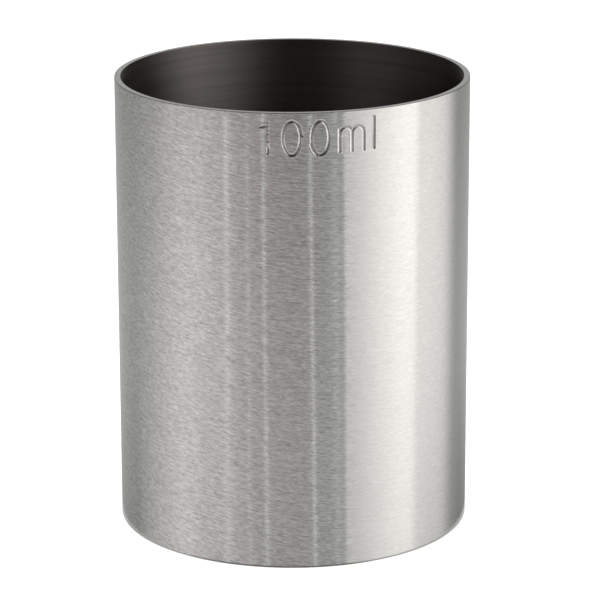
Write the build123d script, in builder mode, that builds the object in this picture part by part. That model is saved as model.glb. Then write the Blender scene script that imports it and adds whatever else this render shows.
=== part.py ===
from build123d import *
import math
import os

# A straight-sided 100 ml bar measure: a brushed stainless steel tube, closed near its lower end
# by a disc that is welded in from underneath. Millimetres, +Z up. The origin is the centre of
# the ring that the measure stands on, and -Y is the side that carries the capacity mark.

# ---------------------------------------------------------------- driving dimensions
OUTER_RADIUS = 24.0
HEIGHT = 62.0
WALL = 0.85
BASE_RECESS = 1.5  # from the standing ring up to the disc's underside
DISC_THICKNESS = 1.0

RIM_BREAK = 0.08  # radius left on both edges of the cut rim when it is deburred
FOOT_BREAK = 0.25  # the same at the foot, which is broken more because the measure slides on it
DISC_WELD_PREP = 0.25  # chamfer round the disc's lower edge, which the weld fills
WELD_LEG = 0.75
WELD_HOLLOW = 1.5  # radius of the weld's concave face

# Capacity mark: single-stroke characters, measured along their centre lines
STROKE_WIDTH = 0.4
STROKE_DEPTH = 0.12
MARK_DROP = 5.2  # from the rim down to the mark's baseline
DIGIT_HEIGHT = 4.06
ZERO_WIDTH = 2.28
ZERO_OVERSHOOT = 0.19  # a round character runs slightly past the height of a straight one
FLAG_REACH = 0.95
FLAG_DROP = 0.68
M_HEIGHT = 3.16
M_FIRST_STEM = 2.85
M_ARCH_WIDTH = 1.65
# each character's distance round the tube from the middle of the mark, and its rise above the
# baseline: a mark that is set by hand isn't quite level
MARK_PLACES = {
    "one": (-6.6, 0),
    "first_zero": (-3.55, -0.1),
    "second_zero": (0.15, -0.1),
    "m": (4.33, 0.02),
    "l": (7.43, 0.11),
}

# ---------------------------------------------------------------- derived dimensions
BORE_RADIUS = OUTER_RADIUS - WALL
DISC_TOP = BASE_RECESS + DISC_THICKNESS
MARK_BASELINE = HEIGHT - MARK_DROP
CUT_REACH = 0.5  # how far the stroke prisms run past the tube's surface, each way
MM3_PER_ML = 1000


# ---------------------------------------------------------------- capacity mark
def mark_plane(place, rise):
    """Plane that touches the tube at the foot of one character, x to the right, y up."""
    angle = place / OUTER_RADIUS
    outward = (math.sin(angle), -math.cos(angle), 0)
    touch = (OUTER_RADIUS * outward[0], OUTER_RADIUS * outward[1], MARK_BASELINE + rise)
    return Plane(origin=touch, x_dir=(math.cos(angle), math.sin(angle), 0), z_dir=outward)


def stroke(*edges):
    """One engraved stroke with round ends, along a chain of edges."""
    SlotArc(Wire(list(edges)), STROKE_WIDTH)


def stem(x, height):
    """Straight upright stroke that stands on the baseline."""
    stroke(Edge.make_line((x, 0), (x, height)))


def draw_one():
    """A stem and a flag, which is a quarter of an ellipse that ends level."""
    stem(0, DIGIT_HEIGHT)
    half_way = math.sqrt(0.5)
    flag = Edge.make_three_point_arc(
        (-FLAG_REACH, DIGIT_HEIGHT - FLAG_DROP),
        (-FLAG_REACH * (1 - half_way), DIGIT_HEIGHT - FLAG_DROP * half_way),
        (0, DIGIT_HEIGHT),
    )
    stroke(flag)


def draw_zero():
    half_width = ZERO_WIDTH / 2
    half_height = DIGIT_HEIGHT / 2 + ZERO_OVERSHOOT
    half_stroke = STROKE_WIDTH / 2
    with Locations((0, DIGIT_HEIGHT / 2)):
        Ellipse(half_width + half_stroke, half_height + half_stroke)
        Ellipse(half_width - half_stroke, half_height - half_stroke, mode=Mode.SUBTRACT)


def draw_m():
    arch_radius = M_ARCH_WIDTH / 2
    spring = M_HEIGHT - arch_radius  # height at which the arches leave the stems
    stem(-M_ARCH_WIDTH, M_FIRST_STEM)
    for right in (0, M_ARCH_WIDTH):
        arch = Edge.make_three_point_arc(
            (right - M_ARCH_WIDTH, spring),
            (right - arch_radius, M_HEIGHT),
            (right, spring),
        )
        stroke(arch, Edge.make_line((right, spring), (right, 0)))


def draw_l():
    stem(0, DIGIT_HEIGHT)


characters = {
    "one": draw_one,
    "first_zero": draw_zero,
    "second_zero": draw_zero,
    "m": draw_m,
    "l": draw_l,
}

with BuildPart() as mark_cut:
    for character, draw in characters.items():
        with BuildSketch(mark_plane(*MARK_PLACES[character])):
            draw()
        extrude(amount=CUT_REACH, both=True)
    # keep only what lies outside the groove floor, so every stroke has one depth round the tube
    with BuildSketch():
        Circle(OUTER_RADIUS - STROKE_DEPTH)
    extrude(amount=HEIGHT, mode=Mode.SUBTRACT)

# ---------------------------------------------------------------- tube
with BuildPart() as body_tube:
    with BuildSketch(Plane.XZ) as wall_section:
        with Locations((BORE_RADIUS, 0)):
            Rectangle(WALL, HEIGHT, align=(Align.MIN, Align.MIN))
        fillet(wall_section.vertices().group_by(Axis.Y)[-1], RIM_BREAK)
        fillet(wall_section.vertices().group_by(Axis.Y)[0], FOOT_BREAK)
    revolve(axis=Axis.Z)
    add(mark_cut.part, mode=Mode.SUBTRACT)

# ---------------------------------------------------------------- base disc
with BuildPart() as base_disc:
    with BuildSketch(Plane.XY.offset(BASE_RECESS)):
        Circle(BORE_RADIUS)
    extrude(amount=DISC_THICKNESS)
    chamfer(base_disc.edges().group_by(Axis.Z)[0], DISC_WELD_PREP)

# ---------------------------------------------------------------- weld bead
# A concave fillet of weld metal that fills the disc's chamfer and blends onto the tube's bore.
with BuildPart() as base_weld:
    toe_on_disc = (BORE_RADIUS - WELD_LEG, BASE_RECESS)
    chamfer_inner = (BORE_RADIUS - DISC_WELD_PREP, BASE_RECESS)
    chamfer_outer = (BORE_RADIUS, BASE_RECESS + DISC_WELD_PREP)
    toe_on_tube = (BORE_RADIUS, BASE_RECESS - WELD_LEG)
    with BuildSketch(Plane.XZ):
        with BuildLine():
            Polyline(toe_on_disc, chamfer_inner, chamfer_outer, toe_on_tube)
            RadiusArc(toe_on_tube, toe_on_disc, -WELD_HOLLOW)
        make_face()
    revolve(axis=Axis.Z)

# ---------------------------------------------------------------- files
os.makedirs("parts", exist_ok=True)

body_tube.part.label = "body_tube"
export_step(body_tube.part, "parts/body_tube.step")

base_disc.part.label = "base_disc"
export_step(base_disc.part, "parts/base_disc.step")

base_weld.part.label = "base_weld"
export_step(base_weld.part, "parts/base_weld.step")

cup_depth = HEIGHT - DISC_TOP
capacity_ml = math.pi * BORE_RADIUS**2 * cup_depth / MM3_PER_ML
print(f"cup: {2 * BORE_RADIUS:.1f} mm across, {cup_depth:.1f} mm deep, {capacity_ml:.1f} ml to the rim")
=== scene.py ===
import math

import bpy
import numpy as np
from mathutils import Matrix, Vector


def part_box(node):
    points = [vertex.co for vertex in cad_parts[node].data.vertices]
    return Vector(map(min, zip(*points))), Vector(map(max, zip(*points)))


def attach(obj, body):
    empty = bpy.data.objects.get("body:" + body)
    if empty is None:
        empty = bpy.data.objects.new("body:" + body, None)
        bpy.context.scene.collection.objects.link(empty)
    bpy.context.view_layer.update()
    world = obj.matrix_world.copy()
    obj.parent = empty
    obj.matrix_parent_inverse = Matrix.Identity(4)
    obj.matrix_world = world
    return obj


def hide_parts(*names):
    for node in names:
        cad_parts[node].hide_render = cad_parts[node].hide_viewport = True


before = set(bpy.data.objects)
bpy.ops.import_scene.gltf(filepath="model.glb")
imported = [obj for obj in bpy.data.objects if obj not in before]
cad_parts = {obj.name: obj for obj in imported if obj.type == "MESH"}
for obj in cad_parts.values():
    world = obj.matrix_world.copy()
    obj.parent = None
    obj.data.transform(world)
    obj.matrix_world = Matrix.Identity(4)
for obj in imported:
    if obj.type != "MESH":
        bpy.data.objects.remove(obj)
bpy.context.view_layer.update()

MM = 0.001

# ---------------------------------------------------------------- sizes, from the frame
_, tube_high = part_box("body_tube")
disc_low, disc_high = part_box("base_disc")
weld_low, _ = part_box("base_weld")

HEIGHT = tube_high.z
OUTER_RADIUS = tube_high.x
BORE_RADIUS = disc_high.x
RIM_BREAK = 0.08 * MM  # rounding left on both edges of the rim
FOOT_BREAK = 0.25 * MM  # and on both edges of the foot
WELD_PREP = 0.25 * MM  # chamfer on the disc's lower edge
BURR = 0.010 * MM  # metal thrown up beside the engraved strokes
WALL_RADIUS = OUTER_RADIUS - BURR  # the brushed wall stays this much inside the CAD box


# ---------------------------------------------------------------- curves
def bell(x, middle, width):
    return np.exp(-(((x - middle) / width) ** 2))


def ramp(x, start, end):
    """0 at start, 1 at end, straight between them and level beyond them."""
    return np.clip((x - start) / (end - start), 0, 1)


def panel(x, start, end, soft_start, soft_end):
    """1 between start and end, falling smoothly to 0 over each soft edge, which lies inside them."""
    rise = ramp(x, start, start + soft_start) * ramp(x, end, end - soft_end)
    return rise * rise * (3 - 2 * rise)


def spaced(start, end, steps):
    return list(np.linspace(start, end, steps + 1))


# ---------------------------------------------------------------- capacity mark
STROKE_HALF_WIDTH = 0.22 * MM
STROKE_DEPTH = 0.12 * MM
GROOVE_FULLNESS = 0.8  # below 1 the groove's section is fuller than a cosine
MARK_BASELINE = HEIGHT - 5.20 * MM
DIGIT_HEIGHT = 4.06 * MM
ZERO_HALF_WIDTH = 1.14 * MM
ZERO_OVERSHOOT = 0.19 * MM
FLAG_REACH = 0.95 * MM
FLAG_DROP = 0.68 * MM
M_HEIGHT = 3.16 * MM
M_ARCH_WIDTH = 1.65 * MM
M_FIRST_STEM = 2.85 * MM
# each character's distance round the tube from the middle of the mark
ONE_X = -6.6 * MM
FIRST_ZERO_X = -3.55 * MM
SECOND_ZERO_X = 0.15 * MM
M_X = 4.33 * MM
L_X = 7.43 * MM
# and its rise, because hand-set characters don't stand quite level
ZERO_RISE = -0.10 * MM
M_RISE = 0.02 * MM
L_RISE = 0.11 * MM


def arc(centre, half_width, half_height, start, end, steps):
    """Points along part of an ellipse; angles in degrees, counter-clockwise from +x."""
    turns = np.radians(np.linspace(start, end, steps + 1))
    return [(centre[0] + half_width * math.cos(t), centre[1] + half_height * math.sin(t)) for t in turns]


def one(x):
    flag = arc((x - FLAG_REACH, DIGIT_HEIGHT), FLAG_REACH, FLAG_DROP, 270, 360, 8)
    return [[(x, 0), (x, DIGIT_HEIGHT)], flag]


def zero(x):
    return [arc((x, DIGIT_HEIGHT / 2), ZERO_HALF_WIDTH, DIGIT_HEIGHT / 2 + ZERO_OVERSHOOT, 90, 450, 40)]


def second_cut(x, start, end):
    """Part of a zero that the cutter went over twice, the second time a little further out."""
    slip = 0.17 * MM
    half_height = DIGIT_HEIGHT / 2 + ZERO_OVERSHOOT + slip / 2
    return [arc((x, DIGIT_HEIGHT / 2), ZERO_HALF_WIDTH + slip, half_height, start, end, 12)]


def letter_m(x):
    arch = M_ARCH_WIDTH / 2
    spring = M_HEIGHT - arch
    lines = [[(x - 2 * arch, 0), (x - 2 * arch, M_FIRST_STEM)]]
    for right in (x, x + 2 * arch):
        lines.append(arc((right - arch, spring), arch, arch, 180, 0, 12) + [(right, 0)])
    return lines


def letter_l(x):
    return [[(x, 0), (x, DIGIT_HEIGHT)]]


def raised(lines, rise):
    return [[(x, y + rise) for x, y in line] for line in lines]


MARK = (
    one(ONE_X)
    + raised(zero(FIRST_ZERO_X) + second_cut(FIRST_ZERO_X, 8, 55), ZERO_RISE)
    + raised(zero(SECOND_ZERO_X) + second_cut(SECOND_ZERO_X, 200, 250), ZERO_RISE)
    + raised(letter_m(M_X), M_RISE)
    + raised(letter_l(L_X), L_RISE)
)


def distance_to_mark(across, up):
    """Distance from each point (across, up) to the nearest centre line of the mark."""
    nearest = np.full(across.shape, np.inf)
    for line in MARK:
        for (ax, ay), (bx, by) in zip(line, line[1:]):
            dx, dy = bx - ax, by - ay
            along = ((across - ax) * dx + (up - ay) * dy) / (dx * dx + dy * dy)
            along = np.clip(along, 0, 1)
            gap = np.hypot(across - ax - along * dx, up - ay - along * dy)
            nearest = np.minimum(nearest, gap)
    return nearest


def cutter_pressure(across, up):
    """How deep the hand-led cutter goes, as a share of the full depth."""
    pressure = 0.86 + 0.14 * np.sin(across / (0.9 * MM)) * np.cos(up / (1.3 * MM))
    pressure = pressure * (1 - 0.45 * ramp(across, -5.0 * MM, -6.0 * MM))  # it starts lightly
    pressure = pressure * (1 - 0.34 * bell(across, 4.3 * MM, 2 * MM))  # and is light round the m
    # it skips up the first stem, and digs in at the stem's foot
    first_stem = bell(across, ONE_X, 0.45 * MM)
    chatter = 0.6 + 0.4 * np.sin(up / (0.11 * MM)) * np.sin(up / (0.29 * MM))
    pressure = pressure * (1 - 0.85 * first_stem * chatter)
    pressure = pressure + 1.2 * first_stem * bell(up, 0.25 * MM, 0.45 * MM)
    return pressure + 0.25 * bell(across, L_X, 0.6 * MM)


def mark_relief(angle, z):
    """Radial offset of the wall near the mark: a round-bottomed groove with a low burr along it."""
    across = angle * OUTER_RADIUS
    up = z - MARK_BASELINE
    away = distance_to_mark(across, up)
    groove = np.where(away < STROKE_HALF_WIDTH, np.cos(0.5 * math.pi * away / STROKE_HALF_WIDTH), 0)
    burr = bell(away, 1.25 * STROKE_HALF_WIDTH, 0.28 * STROKE_HALF_WIDTH)
    return BURR * burr - STROKE_DEPTH * cutter_pressure(across, up) * groove**GROOVE_FULLNESS


# ---------------------------------------------------------------- mesh helpers
def grid_mesh(name, points, ends="joined"):
    """Smooth mesh from an array of points [row, column, xyz] whose columns run round the axis.

    The first and last rows are "joined" to each other, each "capped" by a fan to its own middle, or
    left "open".
    """
    rows, columns, _ = points.shape
    places = points.reshape(-1, 3).tolist()
    faces = [
        (r * columns + c, r * columns + (c + 1) % columns,
         (r + 1) % rows * columns + (c + 1) % columns, (r + 1) % rows * columns + c)
        for r in range(rows if ends == "joined" else rows - 1)
        for c in range(columns)
    ]
    if ends == "capped":
        for row, step in ((0, -1), (rows - 1, 1)):
            middle = len(places)
            places.append(points[row].mean(axis=0).tolist())
            ring = [row * columns + c for c in range(columns)][::step]
            faces += [(ring[c], ring[(c + 1) % columns], middle) for c in range(columns)]
    mesh = bpy.data.meshes.new(name)
    mesh.from_pydata(places, [], faces)
    mesh.polygons.foreach_set("use_smooth", [True] * len(mesh.polygons))
    mesh.update()
    piece = bpy.data.objects.new(name, mesh)
    bpy.context.scene.collection.objects.link(piece)
    return piece


def lathe(profile, angles, relief=None):
    """Points of a profile [(radius, z)] turned about the axis, moved outwards by the relief.

    Angle 0 faces -Y.
    """
    radius = np.array([p[0] for p in profile])[:, None] * np.ones(len(angles))
    z = np.array([p[1] for p in profile])[:, None] * np.ones(len(angles))
    turn = np.ones(len(profile))[:, None] * angles
    if relief is not None:
        radius = radius + relief(turn, z)
    return np.stack([radius * np.sin(turn), -radius * np.cos(turn), z], axis=-1)


def round_angles(columns):
    """Even angles once round the axis, without the one that would close the circle twice."""
    return np.array(spaced(0, 2 * math.pi, columns)[:-1])


def corner(radius, z, size, start):
    """Profile points round a quarter circle of that size, centred on (radius, z), from start degrees on."""
    turns = np.radians(spaced(start, start + 90, 5))
    return [(radius + size * math.cos(t), z + size * math.sin(t)) for t in turns]


# ---------------------------------------------------------------- tube
MARK_HALF_SPAN = 8.4 * MM
MARK_MARGIN = 0.75 * MM
FINE = 0.066 * MM  # mesh spacing that draws the engraved grooves
COARSE_COLUMNS = 232  # round the rest of the tube
WALL_ROWS = 26  # below the mark
BORE_ROWS = 24
FLAT_STEPS = 4  # across the cut ends
END_MARGIN = 1 * MM  # from each end to the first of the evenly spaced rows
GUARD = 0.05 * MM  # short step beside each rounding, so that it shades cleanly


def tube_angles():
    half = MARK_HALF_SPAN / OUTER_RADIUS
    fine = spaced(-half, half, round(2 * MARK_HALF_SPAN / FINE))
    coarse = spaced(half, 2 * math.pi - half, COARSE_COLUMNS)
    return np.array(fine + coarse[1:-1])


def tube_profile():
    """The wall's section: up the outside, over the rim, down the bore and round the foot."""
    mark_bottom = MARK_BASELINE - MARK_MARGIN
    mark_top = MARK_BASELINE + DIGIT_HEIGHT + MARK_MARGIN
    outer_z = (
        [FOOT_BREAK + GUARD]
        + spaced(END_MARGIN, mark_bottom, WALL_ROWS)
        + spaced(mark_bottom, mark_top, round((mark_top - mark_bottom) / FINE))[1:]
        + [HEIGHT - RIM_BREAK - GUARD]
    )
    rim_flat = spaced(WALL_RADIUS - RIM_BREAK, BORE_RADIUS + RIM_BREAK, FLAT_STEPS)[1:-1]
    rim = (
        corner(WALL_RADIUS - RIM_BREAK, HEIGHT - RIM_BREAK, RIM_BREAK, 0)
        + [(r, HEIGHT) for r in rim_flat]
        + corner(BORE_RADIUS + RIM_BREAK, HEIGHT - RIM_BREAK, RIM_BREAK, 90)
    )
    inner_z = (
        [HEIGHT - RIM_BREAK - GUARD]
        + spaced(HEIGHT - END_MARGIN, END_MARGIN, BORE_ROWS)
        + [FOOT_BREAK + GUARD]
    )
    foot_flat = spaced(BORE_RADIUS + FOOT_BREAK, WALL_RADIUS - FOOT_BREAK, FLAT_STEPS)[1:-1]
    foot = (
        corner(BORE_RADIUS + FOOT_BREAK, FOOT_BREAK, FOOT_BREAK, 180)
        + [(r, 0) for r in foot_flat]
        + corner(WALL_RADIUS - FOOT_BREAK, FOOT_BREAK, FOOT_BREAK, 270)
    )
    return [(WALL_RADIUS, z) for z in outer_z] + rim + [(BORE_RADIUS, z) for z in inner_z] + foot


def wall_relief(angle, z):
    """The mark's relief on the outer wall, and none on the bore and the rounded ends."""
    radius = np.array([r for r, _ in tube_profile()])[:, None]
    on_wall = (radius >= WALL_RADIUS) & (z > 2 * FOOT_BREAK) & (z < HEIGHT - 2 * RIM_BREAK)
    return np.where(on_wall, mark_relief(angle, z), 0)


def make_tube():
    return grid_mesh("brushed_tube", lathe(tube_profile(), tube_angles(), wall_relief))


# ---------------------------------------------------------------- base disc
def make_disc():
    """Sheet disc: faint turned rings, a chamfered lower edge and a slightly rolled-over blanked edge."""
    top, bottom, radius = disc_high.z, disc_low.z, disc_high.x
    wave = 0.004 * MM
    pitch = 1.1 * MM
    hub = 0.15 * MM  # radius at which the fan in the middle begins
    roll_over = 0.12 * MM
    roll_over_step = 0.03 * MM
    ring_steps = 110
    columns = 240

    def rings(level, start, end, sign):
        radii = spaced(start, end, ring_steps)
        return [(r, level - sign * wave * (1 + math.cos(2 * math.pi * r / pitch))) for r in radii]

    edge = [
        (radius - roll_over_step, top - roll_over_step),
        (radius, top - roll_over),
        (radius, bottom + WELD_PREP),
    ]
    profile = rings(top, hub, radius - roll_over, 1) + edge + rings(bottom, radius - WELD_PREP, hub, -1)
    return grid_mesh("base_plate", lathe(profile, round_angles(columns)), ends="capped")


# ---------------------------------------------------------------- weld bead
def make_weld():
    """Concave bead in the corner under the disc, with the crescent ripples that each weld pulse leaves."""
    leg = 0.75 * MM
    hollow = 1.5 * MM  # radius of the concave face
    pulses = 150
    ripple = 0.03 * MM
    uneven = 0.3  # of a ripple: a slower rise and fall along the bead
    bow = 0.9  # of a turn: the ripples bow back in the middle of the bead
    diagonal = 0.7  # the ripples rise inwards and downwards alike
    bottom = disc_low.z
    # the concave face is an arc between its toe on the tube and its toe on the disc
    toe_tube = Vector((BORE_RADIUS, bottom - leg))
    toe_disc = Vector((BORE_RADIUS - leg, bottom))
    middle = (toe_tube + toe_disc) / 2
    outward = Vector((-1, -1)).normalized()
    centre = middle + outward * math.sqrt(hollow**2 - (toe_tube - toe_disc).length_squared / 4)
    start = math.atan2(toe_tube.y - centre.y, toe_tube.x - centre.x)
    end = math.atan2(toe_disc.y - centre.y, toe_disc.x - centre.x)
    face_steps = 12
    face = [
        (centre.x + hollow * math.cos(t), centre.y + hollow * math.sin(t))
        for t in spaced(start, end, face_steps)
    ]
    back = [(BORE_RADIUS - WELD_PREP, bottom), (BORE_RADIUS, bottom + WELD_PREP)]
    angles = round_angles(pulses * 8)
    points = lathe(face + back, angles)
    for row in range(1, face_steps):
        crest = math.sin(math.pi * row / face_steps)
        wave = np.cos(pulses * angles + 2 * math.pi * bow * crest) + uneven * np.sin(7 * angles)
        lift = ripple * crest * wave
        points[row, :, 0] -= lift * np.sin(angles) * diagonal
        points[row, :, 1] += lift * np.cos(angles) * diagonal
        points[row, :, 2] -= lift * diagonal
    return grid_mesh("weld_bead", points)


# ---------------------------------------------------------------- materials
STEEL_LEVEL = 0.55  # base colour of clean steel
BELT_TURN = 3.3  # how fast the scratches' slant changes across the tube, per metre
SWAY = 0.48  # how fast the wall turns to the right with height at its most, in radians per metre
SWAY_MIDDLE = math.radians(-4)
SWAY_WIDTH = math.radians(21.6)


class Shader:
    """Short calls for building one material's nodes. x, y, z and radius are the point's place."""

    def __init__(self, name):
        self.material = bpy.data.materials.new(name)
        self.material.use_nodes = True
        self.tree = self.material.node_tree
        self.tree.nodes.clear()
        self.surface = self.add("ShaderNodeBsdfPrincipled")
        output = self.add("ShaderNodeOutputMaterial")
        self.link(self.surface.outputs["BSDF"], output.inputs["Surface"])
        split = self.add("ShaderNodeSeparateXYZ")
        self.link(self.add("ShaderNodeTexCoord").outputs["Object"], split.inputs[0])
        self.x, self.y, self.z = split.outputs
        squares = [self.math("MULTIPLY", side, side) for side in (self.x, self.y)]
        self.radius = self.math("SQRT", self.math("ADD", *squares))

    def add(self, kind, **settings):
        node = self.tree.nodes.new(kind)
        for key, value in settings.items():
            setattr(node, key, value)
        return node

    def link(self, source, target):
        self.tree.links.new(source, target)

    def feed(self, socket, value):
        if isinstance(value, bpy.types.NodeSocket):
            self.link(value, socket)
        else:
            socket.default_value = value

    def math(self, operation, *values):
        node = self.add("ShaderNodeMath", operation=operation)
        for socket, value in zip(node.inputs, values):
            self.feed(socket, value)
        return node.outputs[0]

    def spread(self, value, low, high, to_low, to_high):
        """Maps low..high to to_low..to_high, smoothly, and stops at the ends."""
        node = self.add("ShaderNodeMapRange", interpolation_type="SMOOTHSTEP")
        for socket, item in zip(node.inputs, (value, low, high, to_low, to_high)):
            self.feed(socket, item)
        return node.outputs["Result"]

    def between(self, amount, first, second, kind="Float"):
        """The first value where amount is 0, the second where it is 1."""
        node = self.add("ShaderNodeMix", data_type="RGBA" if kind == "Color" else "FLOAT")
        sockets = {socket.identifier: socket for socket in list(node.inputs) + list(node.outputs)}
        self.feed(sockets["Factor_Float"], amount)
        self.feed(sockets["A_" + kind], first)
        self.feed(sockets["B_" + kind], second)
        return sockets["Result_" + kind]

    def noise(self, vector, detail=2.0, rough=0.5, distortion=0.0):
        node = self.add("ShaderNodeTexNoise")
        self.feed(node.inputs["Vector"], vector)
        self.feed(node.inputs["Scale"], 1.0)
        self.feed(node.inputs["Detail"], detail)
        self.feed(node.inputs["Roughness"], rough)
        self.feed(node.inputs["Distortion"], distortion)
        return node.outputs["Fac"]

    def brush_space(self, length, width, slant=0.0):
        """Coordinates in which noise makes scratches that run round the axis.

        length and width are a scratch's size in metres. z + radius counts across the scratches on
        the walls and on the flat ends alike, and slant tips them, more so on the -X side, as a
        hand-held belt does.
        """
        across = self.math("ADD", self.z, self.radius)
        if slant:
            lean = self.math("SUBTRACT", slant, self.math("MULTIPLY", self.x, BELT_TURN))
            across = self.math("ADD", across, self.math("MULTIPLY", self.x, lean))
        join = self.add("ShaderNodeCombineXYZ")
        self.link(self.math("DIVIDE", self.x, length), join.inputs[0])
        self.link(self.math("DIVIDE", self.y, length), join.inputs[1])
        self.link(self.math("DIVIDE", across, width), join.inputs[2])
        return join.outputs[0]

    def sway(self):
        """Height of a very slow wave in the tube's front, which makes the mirrored bands lean.

        The real tube is a little out of round, and not alike all the way up.
        """
        turn = self.math("ARCTAN2", self.x, self.math("MULTIPLY", self.y, -1.0))
        steps = self.math("DIVIDE", self.math("SUBTRACT", turn, SWAY_MIDDLE), SWAY_WIDTH)
        fade = self.math("EXPONENT", self.math("MULTIPLY", self.math("MULTIPLY", steps, steps), -0.5))
        lift = self.math("MULTIPLY", self.math("MULTIPLY", steps, fade), -SWAY * OUTER_RADIUS * SWAY_WIDTH)
        return self.math("MULTIPLY", lift, self.math("SUBTRACT", self.z, HEIGHT / 2))

    def bump(self, height, distance, normal=None):
        node = self.add("ShaderNodeBump")
        self.feed(node.inputs["Height"], height)
        self.feed(node.inputs["Distance"], distance)
        self.feed(node.inputs["Strength"], 1.0)
        if normal is not None:
            self.link(normal, node.inputs["Normal"])
        return node.outputs["Normal"]


def brushed_steel(name, rough, anisotropy, grain=1.0):
    """Stainless steel brushed round the axis. Highlights stretch across the scratches, into upright bands."""
    s = Shader(name)
    flakes = s.noise(s.brush_space(0.80 * MM, 0.23 * MM, slant=0.12), rough=0.70, distortion=0.25)
    lines = s.noise(s.brush_space(2.5 * MM, 0.2 * MM, slant=0.10), rough=0.55)
    cloud = s.noise(s.brush_space(9 * MM, 3.2 * MM))

    light = s.math("ADD", s.math("MULTIPLY", flakes, 0.70), s.math("MULTIPLY", lines, 0.30))
    press = s.spread(s.x, 1.5 * MM, 5.5 * MM, grain, 0.27 * grain)  # the belt pressed lightly on the +X side
    depth = s.math("MULTIPLY", press, 1.75)
    tone = s.math("ADD", s.math("MULTIPLY", s.math("SUBTRACT", light, 0.5), depth), 1.0)
    tone = s.math("MULTIPLY", tone, s.spread(cloud, 0.3, 0.7, 0.98, 1.02))

    bsdf = s.surface
    bsdf.inputs["Metallic"].default_value = 1.0
    bsdf.inputs["Anisotropic"].default_value = anisotropy
    bsdf.inputs["Anisotropic Rotation"].default_value = 0.25
    tangent = s.add("ShaderNodeTangent", direction_type="RADIAL", axis="Z")
    s.link(tangent.outputs[0], bsdf.inputs["Tangent"])
    scratched = s.bump(s.math("MULTIPLY", lines, press), 0.016 * MM)
    s.link(scratched, bsdf.inputs["Normal"])
    roughness = s.spread(cloud, 0.25, 0.75, rough - 0.015, rough + 0.015)
    return s, tone, roughness, scratched


def finish_steel(s, tone, roughness, tint=(1.0, 1.0, 1.0)):
    combine = s.add("ShaderNodeCombineColor")
    for channel, share in enumerate(tint):
        s.link(s.math("MULTIPLY", s.math("MULTIPLY", tone, STEEL_LEVEL), share), combine.inputs[channel])
    s.link(combine.outputs[0], s.surface.inputs["Base Color"])
    s.link(roughness, s.surface.inputs["Roughness"])
    return s.material


def tube_material():
    """Brushed outside, left as drawn inside: duller, faintly ringed and a little warmer, with its base colour
    darkened to about half: painted shade in the bore.
    """
    s, tone, roughness, scratched = brushed_steel("brushed_tube_steel", 0.125, 1.0)
    s.link(s.bump(s.sway(), 1.0, scratched), s.surface.inputs["Normal"])
    outside = s.spread(s.radius, BORE_RADIUS + 0.01 * MM, BORE_RADIUS + 0.06 * MM, 0, 1)
    rings = s.noise(s.brush_space(40 * MM, 0.5 * MM), detail=3.0, rough=0.6)
    # faint rings, and a base colour darkened to 0.48 of the outside's: painted shade in the bore
    inside_rings_and_painted_shade = s.math("MULTIPLY", s.spread(rings, 0.35, 0.65, 0.91, 1.09), 0.48)
    # painted shade in the engraved grooves, darkest at their bottom
    below_rim = s.spread(s.z, HEIGHT - 0.6 * MM, HEIGHT - 0.4 * MM, 1, 0)
    groove = s.spread(s.radius, WALL_RADIUS - 0.09 * MM, WALL_RADIUS - 0.03 * MM, 1, 0)
    groove_shade_strength = s.spread(s.radius, WALL_RADIUS - 0.17 * MM, WALL_RADIUS - 0.12 * MM, 0.75, 0.35)
    groove_painted_shade = s.math("MULTIPLY", s.math("MULTIPLY", below_rim, groove), outside)
    outside_tone = s.math("MULTIPLY", tone, s.math("SUBTRACT", 1.0, s.math("MULTIPLY", groove_painted_shade, groove_shade_strength)))
    tone = s.between(outside, inside_rings_and_painted_shade, outside_tone)
    roughness = s.between(outside, 0.48, roughness)
    warm = [s.between(outside, share, 1.0) for share in (1.06, 1.0, 0.99)]
    return finish_steel(s, tone, roughness, warm)


def disc_material():
    s, tone, roughness, _ = brushed_steel("spun_base_steel", 0.28, 0.8, grain=0.5)
    return finish_steel(s, tone, roughness)


def weld_material():
    """Weld metal with patches of straw heat tint, and blue along the bead's lower edge."""
    s = Shader("weld_steel")
    patches = s.noise(s.brush_space(2.5 * MM, 0.5 * MM), detail=3.0, rough=0.6)
    straw, grey, blue = (0.52, 0.44, 0.33, 1), (0.47, 0.46, 0.45, 1), (0.33, 0.36, 0.42, 1)
    tint = s.between(s.spread(patches, 0.35, 0.65, 0, 1), straw, grey, "Color")
    low = s.spread(s.z, weld_low.z, weld_low.z + 0.4 * MM, 0.5, 0)
    bsdf = s.surface
    s.link(s.between(low, tint, blue, "Color"), bsdf.inputs["Base Color"])
    bsdf.inputs["Metallic"].default_value = 1.0
    s.link(s.spread(patches, 0.3, 0.7, 0.28, 0.45), bsdf.inputs["Roughness"])
    s.link(s.bump(patches, 0.01 * MM), bsdf.inputs["Normal"])
    return s.material


# ---------------------------------------------------------------- pieces
def place(piece, material, node):
    piece.data.materials.append(material)
    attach(piece, "root")
    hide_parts(node)


place(make_tube(), tube_material(), "body_tube")
place(make_disc(), disc_material(), "base_disc")
place(make_weld(), weld_material(), "base_weld")


# ---------------------------------------------------------------- camera
# The mark faces -Y. The camera stands a little to its left, so the mark shows right of the middle.
VIEW_AZIMUTH = math.radians(-8.2)
VIEW_ELEVATION = 0.28407
VIEW_DISTANCE = 18.005 * OUTER_RADIUS
AIM_HEIGHT = 1.2578 * OUTER_RADIUS
AIM_TURN = 0.00233  # the axis stands just left of the picture's middle
ROLL = 0.00260
LENS = 188.29
SENSOR_WIDTH = 36.0
CLIP_START, CLIP_END = 0.01, 20.0


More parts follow.
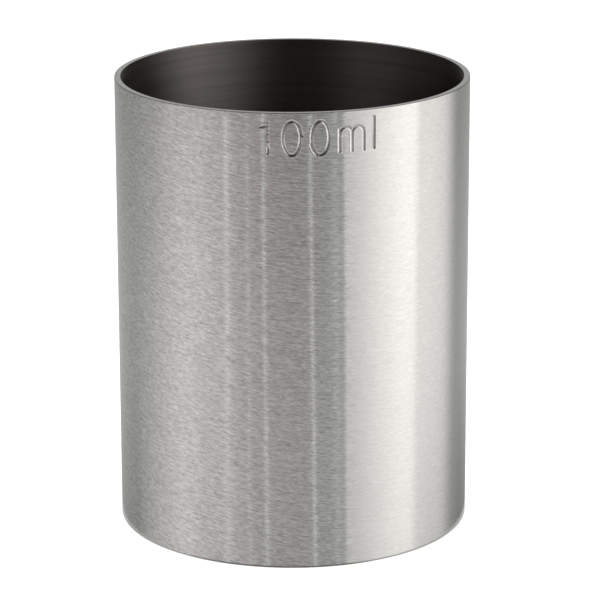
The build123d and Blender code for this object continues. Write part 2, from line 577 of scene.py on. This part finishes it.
def make_camera():
    data = bpy.data.cameras.new("camera")
    data.lens = LENS
    data.sensor_width = SENSOR_WIDTH
    data.clip_start = CLIP_START
    data.clip_end = CLIP_END
    camera = bpy.data.objects.new("camera", data)
    bpy.context.scene.collection.objects.link(camera)
    level, rise = math.cos(VIEW_ELEVATION), math.sin(VIEW_ELEVATION)
    turn = Matrix.Rotation(VIEW_AZIMUTH, 3, "Z")
    position = turn @ Vector((0, -VIEW_DISTANCE * level, AIM_HEIGHT + VIEW_DISTANCE * rise))
    forward = turn @ Vector((math.sin(AIM_TURN) * level, math.cos(AIM_TURN) * level, -rise))
    right = turn @ Vector((math.cos(AIM_TURN), -math.sin(AIM_TURN), 0))
    up = right.cross(forward)
    right, up = (
        right * math.cos(ROLL) - up * math.sin(ROLL),
        right * math.sin(ROLL) + up * math.cos(ROLL),
    )
    axes = Matrix((right, up, -forward)).transposed()
    camera.matrix_world = Matrix.Translation(position) @ axes.to_4x4()
    bpy.context.scene.camera = camera


# ---------------------------------------------------------------- studio
# The floor and the overhead lamp light the picture, and the steel doesn't mirror them. What it
# mirrors is the tent, a ring of soft light and shade round the object. Azimuths in the tent are in
# degrees from the photographer's side, positive to the right, and elevations are in degrees.
FLOOR_RADIUS = 2.0
FLOOR_THICKNESS = 0.01
FLOOR_COLOUR = (0.80, 0.80, 0.80, 1)
FLOOR_GLOW = 0.72  # near the object; beyond it the glow rises to full white
FLOOR_GLOW_START, FLOOR_GLOW_END = 0.2, 0.7
LAMP_SIZE = 0.9
LAMP_POWER = 9.0
LAMP_HEIGHT = 1.1
BACKDROP = 1.05
CEILING = 0.16

TENT_RADIUS = 0.8
TENT_DEPTH = 1.7  # of the tent's bottom below the floor, in radii
TENT_BOTTOM = -88
TENT_TOP = 60
TENT_ROWS = 50
TENT_STEP = 0.5  # between its columns, in degrees

PINK = np.array((1.05, 1.0, 0.99))
COOL = np.array((1.0, 1.0, 0.975))
CREAM = np.array((1.045, 1.0, 0.95))
WARM = np.array((1.25, 1.0, 0.92))
DAYLIGHT = np.array((0.86, 1.0, 0.95))

ROOM = 0.60
BACK = 0.48
# soft boxes of the key, overlapping: brightness, left and right edge, how soft each edge is, and
# how far the left edge moves out and softens towards the top
KEY_BOXES = (
    (0.40, 32.5, 134, 2, 22, 32, 50),
    (0.34, 33, 135, 26, 44, 32, 24),
    (0.31, 50, 89.5, 28, 7, 0, 0),
)
# narrow gaps between the diffusers: azimuth, half width, brightness and the share of it that is
# lost towards the bottom
STRIPS = (
    (-42.6, 1.8, 0.26, 0.6),
    (-28.5, 0.6, 0.27, 0),
    (-17.8, 0.5, 0.66, 0),
    (12.4, 0.5, 0.72, 0),
    (28.0, 3.2, 0.14, 0.5),
)


def room_light(azimuth, elevation):
    """The dim room all round, brighter on the left. The wall mirrors its middle to the photographer."""
    above, below = ramp(elevation, -17, -12), ramp(elevation, -17, -20)
    level = 0.20 + 0.80 * bell(elevation, -16.5, 14)
    back_loss = 0.08 + 1.1 * np.minimum(ramp(elevation, -15, -35), 0.6)
    edge = 1 - back_loss * panel(abs(azimuth), 106, 250, 24, 20)
    tint = COOL + (PINK - COOL) * panel(azimuth, -106, 20, 8, 6)
    dim = 1 - 0.12 * bell(azimuth, 3, 12) * above - 0.35 * panel(azimuth, 134, 250, 10, 20) * below
    dim_left = 1 - 0.26 * bell(azimuth, -60, 11) * below
    left = 0.45 * bell(azimuth, -68, 31) * level * PINK
    return (ROOM * edge * level * dim * tint + left) * dim_left


def key_light(azimuth, elevation):
    """The bright soft boxes on the right. They fade downwards, more so at their right end."""
    lean = ramp(elevation, 0, 10)
    key = 0
    for brightness, start, end, soft_start, soft_end, shift, softening in KEY_BOXES:
        left_edge, softness = start - shift * lean, soft_start + softening * lean
        key = key + brightness * panel(azimuth, left_edge, end, softness, soft_end)
    right_loss = 2.9 * np.minimum(ramp(elevation, -17, -47), 0.4)
    key = key * (1 - right_loss * panel(azimuth, 80, 180, 25, 20))
    key = key * (1 - 0.15 * ramp(elevation, -18.5, -21.5))
    return key * (1 + 1.05 * np.clip((elevation + 16) / 30, -1, 0.2)) * CREAM


def strip_light(azimuth, elevation):
    below = ramp(elevation, -17, -20)
    glow = sum(
        brightness * (1 - loss * below) * bell(azimuth, middle, width)
        for middle, width, brightness, loss in STRIPS
    )
    return glow * DAYLIGHT


def tent_colour(azimuth, elevation):
    """What one direction of the tent shows, as linear red, green and blue."""
    near_floor = 0.75 * panel(-elevation, 32, 200, 14, 1) * COOL
    high_right = 0.30 * bell(azimuth, 78, 20) * panel(elevation, 2, 32, 6, 12) * CREAM
    walls = room_light(azimuth, elevation) + key_light(azimuth, elevation) + strip_light(azimuth, elevation)
    # the tent's walls end at this elevation, higher on the right than on the left
    top = 20 + 40 * panel(azimuth, -14, 122, 84, 45) + 15 * panel(azimuth, -150, -15, 40, 25)
    colour = (walls + near_floor + high_right) * ramp(elevation, top, top - 20)
    bounce = panel(elevation, 0, 95, 12, 10) * (0.04 * WARM + 0.15 * bell(azimuth, -62, 32) * PINK)
    # the far side, which the rim's flat mirrors
    behind = BACK * panel(abs(azimuth), 144, 250, 30, 20) * panel(elevation, 0, 55, 8, 15) * COOL
    return np.maximum(colour + bounce, behind)


def make_tent():
    azimuths = np.arange(-180, 180, TENT_STEP)
    elevations = np.linspace(TENT_BOTTOM, TENT_TOP, TENT_ROWS)
    depth = TENT_RADIUS * TENT_DEPTH
    profile = []
    for slope in np.tan(np.radians(elevations)):
        # an upright wall, and a flat sheet that closes the bottom
        radius = min(TENT_RADIUS, -depth / slope) if slope < 0 else TENT_RADIUS
        profile.append((radius, max(TENT_RADIUS * slope, -depth)))
    points = lathe(profile, np.radians(azimuths) + VIEW_AZIMUTH)
    tent = grid_mesh("light_tent", points, ends="open")
    make_glow(tent, [(*tent_colour(a, e), 1) for e in elevations for a in azimuths])


def contact_shade(azimuth):
    """Brightness of the ring under the foot: darkest in front, lighter to the right and far left."""
    return 0.22 + 0.42 * panel(azimuth, 15, 190, 15, 1) + 0.38 * panel(azimuth, -190, -24, 1, 18)


def make_contact():
    """Dark ring just under the floor, round the foot: the shade that the steel's lowest edge mirrors."""
    azimuths = np.arange(-180, 180, 2)
    drop = 0.02 * MM
    profile = [(OUTER_RADIUS - 1.5 * MM, -drop), (OUTER_RADIUS + 0.7 * MM, -drop)]
    points = lathe(profile, np.radians(azimuths) + VIEW_AZIMUTH)
    ring = grid_mesh("contact_shade", points, ends="open")
    ring.visible_diffuse = False
    make_glow(ring, [(*contact_shade(a) * COOL, 1) for _ in profile for a in azimuths])


def make_glow(piece, values):
    """Gives a stage mesh a light of its own at every point, for the steel to mirror."""
    colours = piece.data.attributes.new("glow", "FLOAT_COLOR", "POINT")
    colours.data.foreach_set("color", np.array(values, np.float32).ravel())
    material = bpy.data.materials.new(piece.name)
    material.use_nodes = True
    tree = material.node_tree
    tree.nodes.clear()
    attribute = tree.nodes.new("ShaderNodeAttribute")
    attribute.attribute_name = "glow"
    emission = tree.nodes.new("ShaderNodeEmission")
    output = tree.nodes.new("ShaderNodeOutputMaterial")
    tree.links.new(attribute.outputs["Color"], emission.inputs["Color"])
    tree.links.new(emission.outputs[0], output.inputs["Surface"])
    piece.data.materials.append(material)
    piece.visible_camera = False
    piece.visible_shadow = False


def make_floor():
    """Large pale disc that shows near white to the camera."""
    edge = lathe([(FLOOR_RADIUS, -FLOOR_THICKNESS), (FLOOR_RADIUS, 0)], round_angles(96))
    floor = grid_mesh("floor", edge, ends="capped")
    floor.data.polygons.foreach_set("use_smooth", [False] * len(floor.data.polygons))
    s = Shader("studio_floor")
    bsdf = s.surface
    bsdf.inputs["Base Color"].default_value = FLOOR_COLOUR
    bsdf.inputs["Roughness"].default_value = 0.7
    bsdf.inputs["Specular IOR Level"].default_value = 0.1
    bsdf.inputs["Emission Color"].default_value = (1, 1, 1, 1)
    glow = s.spread(s.radius, FLOOR_GLOW_START, FLOOR_GLOW_END, FLOOR_GLOW, 1.0)
    s.link(glow, bsdf.inputs["Emission Strength"])
    floor.data.materials.append(s.material)
    floor.visible_glossy = False


def make_overhead():
    data = bpy.data.lights.new("overhead", "AREA")
    data.shape = "SQUARE"
    data.size = LAMP_SIZE
    data.energy = LAMP_POWER
    lamp = bpy.data.objects.new("overhead", data)
    lamp.location = (0, 0, LAMP_HEIGHT)
    lamp.visible_camera = False
    lamp.visible_glossy = False
    bpy.context.scene.collection.objects.link(lamp)


def make_world():
    """White where the camera looks past the floor, and a dim ceiling for the steel to mirror."""
    world = bpy.data.worlds.new("studio")
    bpy.context.scene.world = world
    world.use_nodes = True
    tree = world.node_tree
    tree.nodes.clear()
    path = tree.nodes.new("ShaderNodeLightPath")
    level = tree.nodes.new("ShaderNodeMapRange")
    level.inputs["To Min"].default_value = CEILING
    level.inputs["To Max"].default_value = BACKDROP
    background = tree.nodes.new("ShaderNodeBackground")
    background.inputs["Color"].default_value = (1, 1, 1, 1)
    output = tree.nodes.new("ShaderNodeOutputWorld")
    tree.links.new(path.outputs["Is Camera Ray"], level.inputs["Value"])
    tree.links.new(level.outputs["Result"], background.inputs["Strength"])
    tree.links.new(background.outputs[0], output.inputs["Surface"])


make_camera()
make_floor()
make_tent()
make_contact()
make_overhead()
make_world()

bpy.context.scene.view_settings.view_transform = "Standard"
bpy.context.scene.view_settings.look = "None"
